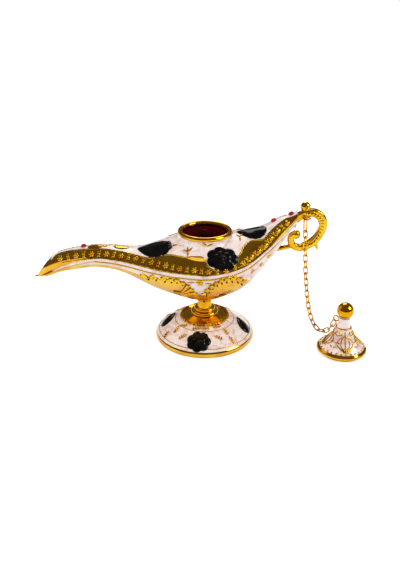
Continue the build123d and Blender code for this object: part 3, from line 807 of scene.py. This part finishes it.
sprays = bmesh.new()
ridge_sprays = bmesh.new()
for u, v, turns in spray_places:
    at, facing = spot(u, v, "upper_shell")
    if at is None:
        continue
    spray = bmesh.new()
    bead(spray, spray_bead_radius, spray_bead_height)
    for turn in turns:
        leaf(spray, spray_leaf_length, spray_leaf_width, spray_leaf_height, turn)
    lay(ridge_sprays if abs(at.y) < ridge_half_width else sprays, spray, "upper_shell", at, facing)
for at, facing in seen_spots(broad_leaf_points, "upper_shell"):
    broad = bmesh.new()
    leaf(broad, broad_leaf_length, broad_leaf_width, broad_leaf_height,
         0.0, (-broad_leaf_length / 2, 0), broad_leaf_narrow)
    lay(ridge_sprays, broad, "upper_shell", at, facing)
for at in seen_places(dot_points, "upper_shell"):
    lay_bead(sprays, "upper_shell", at, nearest("upper_shell", at)[1], dot_radius, dot_height)
make_piece("deck_scrolls", sprays, polished_gilt, True)
make_piece("ridge_scrolls", ridge_sprays, polished_gilt)

# %% [markdown]
# The bowl carries two gilt shell fans a side, a flower between them, stars beside them and a
# rope under the seam. Each fan is a row of blades that spread from one root and end in knobs.
# The shade in each fan's hollows is painted: a raised black strip between each two blades
# stands for the shade in the groove there, and a black bead near each knob stands for the
# shade in a pit.

# %% Hull ornament
fans = (
    ((180, 293.0), (
        (141.5, 275.3), (151, 276.4), (161.8, 278.2), (170, 279), (177, 279.4),
        (184, 282.4), (189, 285.8), (193, 289.6), (196.6, 293.4),
    )),
    ((222, 295.4), (
        (202.4, 294.0), (205.6, 290.2), (210.6, 286), (215.9, 282.4), (221.4, 279.8),
        (227.4, 278.2), (234, 277.4), (241, 278.2), (246, 280.6),
    )),
)
fan_steps = 8
blade_root_width, blade_least_width, blade_height = 0.4 * mm, 1.7 * mm, 0.8 * mm
blade_width_share = 0.8
# The grooves and pits are painted shade: black strips and beads laid where the fans' hollows are in shade
groove_root_width, groove_end_width, groove_height = 0.25 * mm, 0.6 * mm, 0.2 * mm
knob_radius, knob_height = 0.95 * mm, 0.95 * mm
pit_radius, pit_height = 0.42 * mm, 0.95 * mm
pit_way_share = 0.8
flower_point = (200, 283)
flower_sizes = {
    "petals": 6, "length": 2.2 * mm, "width": 1.2 * mm, "height": 0.5 * mm,
    "heart_radius": 0.7 * mm, "heart_height": 0.9 * mm, "narrow": 0.2,
}
wing_length, wing_width, wing_height = 4.6 * mm, 1.0 * mm, 0.4 * mm
wing_start, wing_turn = 2.4 * mm, 0.15
star_points = ((252.6, 271.5), (261, 264.4), (268.9, 256.3), (128, 274.4), (112, 270.6), (96, 268.6))
star_sizes = {
    "petals": 5, "length": 1.5 * mm, "width": 0.8 * mm, "height": 0.4 * mm,
    "heart_radius": 0.4 * mm, "heart_height": 0.5 * mm, "narrow": 0.7,
}
# The seam is looked for at these places along the lamp, and from this height upwards, in mm
seam_places = range(-84, 44, 4)
scan_low, scan_steps_per_mm, scan_steps = 32, 4, 140
scan_side = -40
seam_drop = 1.5 * mm
seam_rope_width, seam_rope_height, seam_rope_twist = 0.9 * mm, 0.45 * mm, 1.1 * mm
seam_rope_steps = 14


def fan_wire(form, start, end, root_width, height, end_width):
    """A wire over the bowl from a fan's root to a place on its edge."""
    middle, _ = nearest("lower_shell", (start + end) / 2)
    wire(form, "lower_shell", [start, middle, end], root_width, height, fan_steps, 0.0, end_width)


def seam_place(along):
    """A place a little below the bowl's widest point; None where the bowl isn't met."""
    hits = []
    for number in range(scan_steps):
        start = Vector((along, scan_side, scan_low + number / scan_steps_per_mm)) * mm
        hit, _ = cast("lower_shell", start, y_axis)
        if hit is not None and hit.y < 0:
            hits.append(hit)
    if not hits:
        return None
    outermost = min(hits, key=lambda hit: hit.y)
    return nearest("lower_shell", outermost - z_axis * seam_drop)[0]


hull = bmesh.new()
# Painted shade: black strips between the blades and black beads near the knobs
fan_shade = bmesh.new()
for root, tips in fans:
    start, _ = spot(*root, "lower_shell")
    if start is None:
        continue
    ends = seen_places(tips, "lower_shell")
    for end, following in zip(ends, ends[1:]):
        between, _ = nearest("lower_shell", (end + following) / 2)
        fan_wire(fan_shade, start, between, groove_root_width, groove_height, groove_end_width)
    for number, end in enumerate(ends):
        neighbour = ends[number - 1] if number else ends[1]
        blade_width = max(blade_least_width, blade_width_share * (end - neighbour).length)
        fan_wire(hull, start, end, blade_root_width, blade_height, blade_width)
        _, facing = nearest("lower_shell", end)
        lay_bead(hull, "lower_shell", end, facing, knob_radius, knob_height)
        pit_at, _ = nearest("lower_shell", start.lerp(end, pit_way_share))
        lay_bead(fan_shade, "lower_shell", pit_at, facing, pit_radius, pit_height)
flower = blossom(**flower_sizes)
for turn in (-wing_turn, pi + wing_turn):
    leaf(flower, wing_length, wing_width, wing_height, turn, (wing_start * cos(turn), 0))
lay(hull, flower, "lower_shell", *spot(*flower_point, "lower_shell"))
for at, facing in seen_spots(star_points, "lower_shell"):
    lay(hull, blossom(**star_sizes), "lower_shell", at, facing)
seam = [place for place in map(seam_place, seam_places) if place is not None]
wire(hull, "lower_shell", seam, seam_rope_width, seam_rope_height, seam_rope_steps, seam_rope_twist)
make_piece("hull_ornament", hull, cast_gilt, True)
# The fans' painted shade, in black
make_piece("hull_fan_shade", fan_shade, black_enamel, True)

# %% [markdown]
# A rope runs along each side of the handle's loop.

# %% Handle rope
# Places along the loop, x and z in mm
loop_route = (
    (51.5, 70.4), (55.5, 70.2), (58.8, 67.6), (60.3, 63.6), (59.4, 58.6), (56.4, 54.4), (52.4, 52.4),
)
loop_side = -4.0
loop_rope_width, loop_rope_height, loop_rope_twist = 2.6 * mm, 0.7 * mm, 1.7 * mm
loop_rope_steps = 12

rope = bmesh.new()
loop_places = [nearest("handle", Vector((x, loop_side, z)) * mm)[0] for x, z in loop_route]
wire(rope, "handle", loop_places, loop_rope_width, loop_rope_height, loop_rope_steps, loop_rope_twist)
make_piece("handle_rope", rope, cast_gilt, True)

# %% [markdown]
# The foot has gilt sprigs between its roses and drops, and two thin rope rings.

# %% Foot ornament
# For each sprig: its picture point and its heading
sprig_places = (
    (176, 330, 0.9), (182, 337, 0.4), (226, 332, 2.3), (219, 338, 2.8), (196, 328.4, 0.0),
    (206, 329, pi), (216, 326.6, 0.3), (184, 325.6, 2.8), (232, 340.6, 2.2), (166, 334.6, 0.9),
)
sprig_length, sprig_width, sprig_height = 4.6 * mm, 0.5 * mm, 0.35 * mm
sprig_leaf_length, sprig_leaf_width, sprig_leaf_height = 1.7 * mm, 0.8 * mm, 0.4 * mm
sprig_leaf_pairs = 3
sprig_leaf_turn, sprig_leaf_pitch, sprig_leaf_centre = 0.8, 1.3 * mm, 1.4
sprig_bead_radius, sprig_bead_height, sprig_bead_place = 0.45 * mm, 0.6 * mm, 2.4 * mm
foot_radius = 27.0 * mm
foot_ring_shares = (0.60, 0.93)
ring_steps = 24
above_foot = 30 * mm
foot_rope_width, foot_rope_height, foot_rope_twist = 0.5 * mm, 0.3 * mm, 1.0 * mm
foot_rope_steps = 8

sprigs = bmesh.new()
for u, v, heading in sprig_places:
    at, facing = spot(u, v, "foot")
    if at is None:
        continue
    sprig = bmesh.new()
    leaf(sprig, sprig_length, sprig_width, sprig_height, 0.0, (-sprig_length / 2, 0))
    for number in range(sprig_leaf_pairs):
        for turn in (sprig_leaf_turn, -sprig_leaf_turn):
            leaf(sprig, sprig_leaf_length, sprig_leaf_width, sprig_leaf_height,
                 turn, ((number - sprig_leaf_centre) * sprig_leaf_pitch, 0))
    bead(sprig, sprig_bead_radius, sprig_bead_height, (sprig_bead_place, 0))
    lay(sprigs, sprig, "foot", at, facing, heading)
for share in foot_ring_shares:
    radius = foot_radius * share
    circle = []
    for number in range(ring_steps + 1):
        angle = pi + pi * number / ring_steps
        hit, _ = cast("foot", Vector((radius * cos(angle), radius * sin(angle), above_foot)), -z_axis)
        if hit is not None:
            circle.append(hit)
    wire(sprigs, "foot", circle, foot_rope_width, foot_rope_height, foot_rope_steps, foot_rope_twist)
make_piece("foot_ornament", sprigs, cast_gilt, True)

# %% [markdown]
# The lid's cone carries four gilt onions, each drawn by five wires with a fan of short ribs
# round it, a row of beads along the lower edge, and a ring at the neck's foot.

# %% Lid ornament
lid_centre = Vector((72.6, -18.5, 0)) * mm
outside_lid = 30 * mm
onions_round = 4
# For each wire of an onion: how far it sways aside and how high it reaches
onion_wire_shares = ((-1.0, 0.62), (-0.55, 0.85), (0.0, 1.0), (0.55, 0.85), (1.0, 0.62))
onion_way_shares = (0.0, 0.35, 0.7, 1.0)
onion_belly_shift = 0.9
onion_body_share, onion_point_share = 0.9, 0.2
onion_half_width, onion_low, onion_height = 4.6 * mm, 4.6 * mm, 7.6 * mm
onion_least_reach = 0.8
onion_wire_width, onion_wire_end_width, onion_wire_height = 0.9 * mm, 0.35 * mm, 0.5 * mm
onion_wire_steps = 8
ribs = 11
rib_lean = 0.4
rib_reaches = (5.2, 5.9, 6.6)
rib_centre, rib_rise_share = 8.0, 0.82
rib_width, rib_end_width, rib_height = 0.5 * mm, 0.9 * mm, 0.4 * mm
rib_steps = 4
least_places = 3
edge_beads = 28
edge_bead_level = 3.9 * mm
edge_bead_radius, edge_bead_height = 0.6 * mm, 0.5 * mm
neck_ring_level = 14.6 * mm
neck_ring_width, neck_ring_height = 0.9 * mm, 0.5 * mm
neck_ring_steps = 6


def outward_at(angle):
    """The level direction away from the lid's middle at an angle."""
    return Vector((cos(angle), sin(angle), 0))


def lid_cast(aside, height, outward):
    """Where the lid's outside stands, at a way aside and a height."""
    return cast("lid_shell", lid_centre + aside + z_axis * height + outward * outside_lid, -outward)


def lid_wire(form, path, width, height, steps, end_width):
    """A wire over the lid through the places that were found."""
    path = [place for place in path if place is not None]
    if len(path) >= least_places:
        wire(form, "lid_shell", path, width, height, steps, 0.0, end_width)


def onion_place(spread, reach, share, outward, aside):
    """A place at a share of the way up one wire of an onion."""
    fullness = onion_body_share if share < 1 else onion_point_share
    sway = spread * onion_half_width * (1 - (2 * share - onion_belly_shift) ** 2) * fullness
    height = onion_low + onion_height * share * (onion_least_reach + (1 - onion_least_reach) * reach)
    return lid_cast(aside * sway, height, outward)[0]


def rib_place(reach, lean, outward, aside):
    """A place on a rib, at a distance in mm from the onion's middle."""
    height = (rib_centre + rib_rise_share * reach * sin(lean)) * mm
    return lid_cast(aside * reach * mm * cos(lean), height, outward)[0]


onions = bmesh.new()
for number in range(onions_round):
    angle = -pi / 2 + 2 * pi * number / onions_round
    outward, aside = outward_at(angle), outward_at(angle + pi / 2)
    for spread, reach in onion_wire_shares:
        path = [onion_place(spread, reach, share, outward, aside) for share in onion_way_shares]
        lid_wire(onions, path, onion_wire_width, onion_wire_height, onion_wire_steps, onion_wire_end_width)
    for rib in range(ribs):
        lean = -rib_lean + (pi + 2 * rib_lean) * rib / (ribs - 1)
        path = [rib_place(reach, lean, outward, aside) for reach in rib_reaches]
        lid_wire(onions, path, rib_width, rib_height, rib_steps, rib_end_width)
no_way = Vector((0, 0, 0))
for number in range(edge_beads):
    at, facing = lid_cast(no_way, edge_bead_level, outward_at(2 * pi * number / edge_beads))
    if at is not None:
        lay_bead(onions, "lid_shell", at, facing, edge_bead_radius, edge_bead_height)
neck_ring = [
    lid_cast(no_way, neck_ring_level, outward_at(2 * pi * number / ring_steps))[0]
    for number in range(ring_steps + 1)
]
wire(onions, "lid_shell", neck_ring, neck_ring_width, neck_ring_height, neck_ring_steps)
make_piece("lid_ornament", onions, cast_gilt)

# %% [markdown]
# The inside of the lamp is lined with dark red enamel: a spun bowl under the mouth and a
# tapering tube in the spout that ends at its slanted opening.

# %% Red linings
# The bowl's lining, as radius and height in mm
lining_profile = (
    (11.45, 59.4), (11.45, 53.0), (18.6, 49.0), (20.0, 45.0), (16.5, 36.0), (9.0, 31.2), (0.01, 30.4),
)
lining_steps = 64
merge_gap = 0.01 * mm
# The tube's rings: place along the lamp, middle height, half height and half width, in mm
tube_rings = (
    (-86.6, 39.2, 2.7, 2.5), (-84.0, 40.6, 3.2, 2.7), (-78.0, 43.15, 4.3, 3.3),
    (-70.0, 45.2, 4.6, 3.8), (-60.0, 46.8, 4.6, 4.6),
)
tube_segments = 28
opening_place = Vector((-79.0, 0, 49.6)) * mm
opening_facing = (-0.788, 0, 0.616)

liner = bmesh.new()
points = [liner.verts.new(Vector((radius, 0, height)) * mm) for radius, height in lining_profile]
edges = [liner.edges.new(pair) for pair in zip(points, points[1:])]
bmesh.ops.spin(
    liner, geom=points + edges, cent=(0, 0, 0), axis=z_axis, angle=2 * pi, steps=lining_steps,
)
bmesh.ops.remove_doubles(liner, verts=liner.verts[:], dist=merge_gap)
bmesh.ops.recalc_face_normals(liner, faces=liner.faces[:])
make_piece("mouth_lining", liner, red_enamel)

tube = bmesh.new()
rings = []
for x, middle, half_height, half_width in tube_rings:
    ring = bmesh.ops.create_circle(tube, segments=tube_segments, radius=1.0)["verts"]
    for vert in ring:
        vert.co = Vector((x, vert.co.y * half_width, middle + vert.co.x * half_height)) * mm
    rings.append([edge for edge in tube.edges if all(end in ring for end in edge.verts)])
for first, second in zip(rings, rings[1:]):
    bmesh.ops.bridge_loops(tube, edges=first + second)
bmesh.ops.bisect_plane(
    tube, geom=everything(tube), plane_co=opening_place, plane_no=opening_facing, clear_outer=True,
)
make_piece("spout_lining", tube, red_enamel)
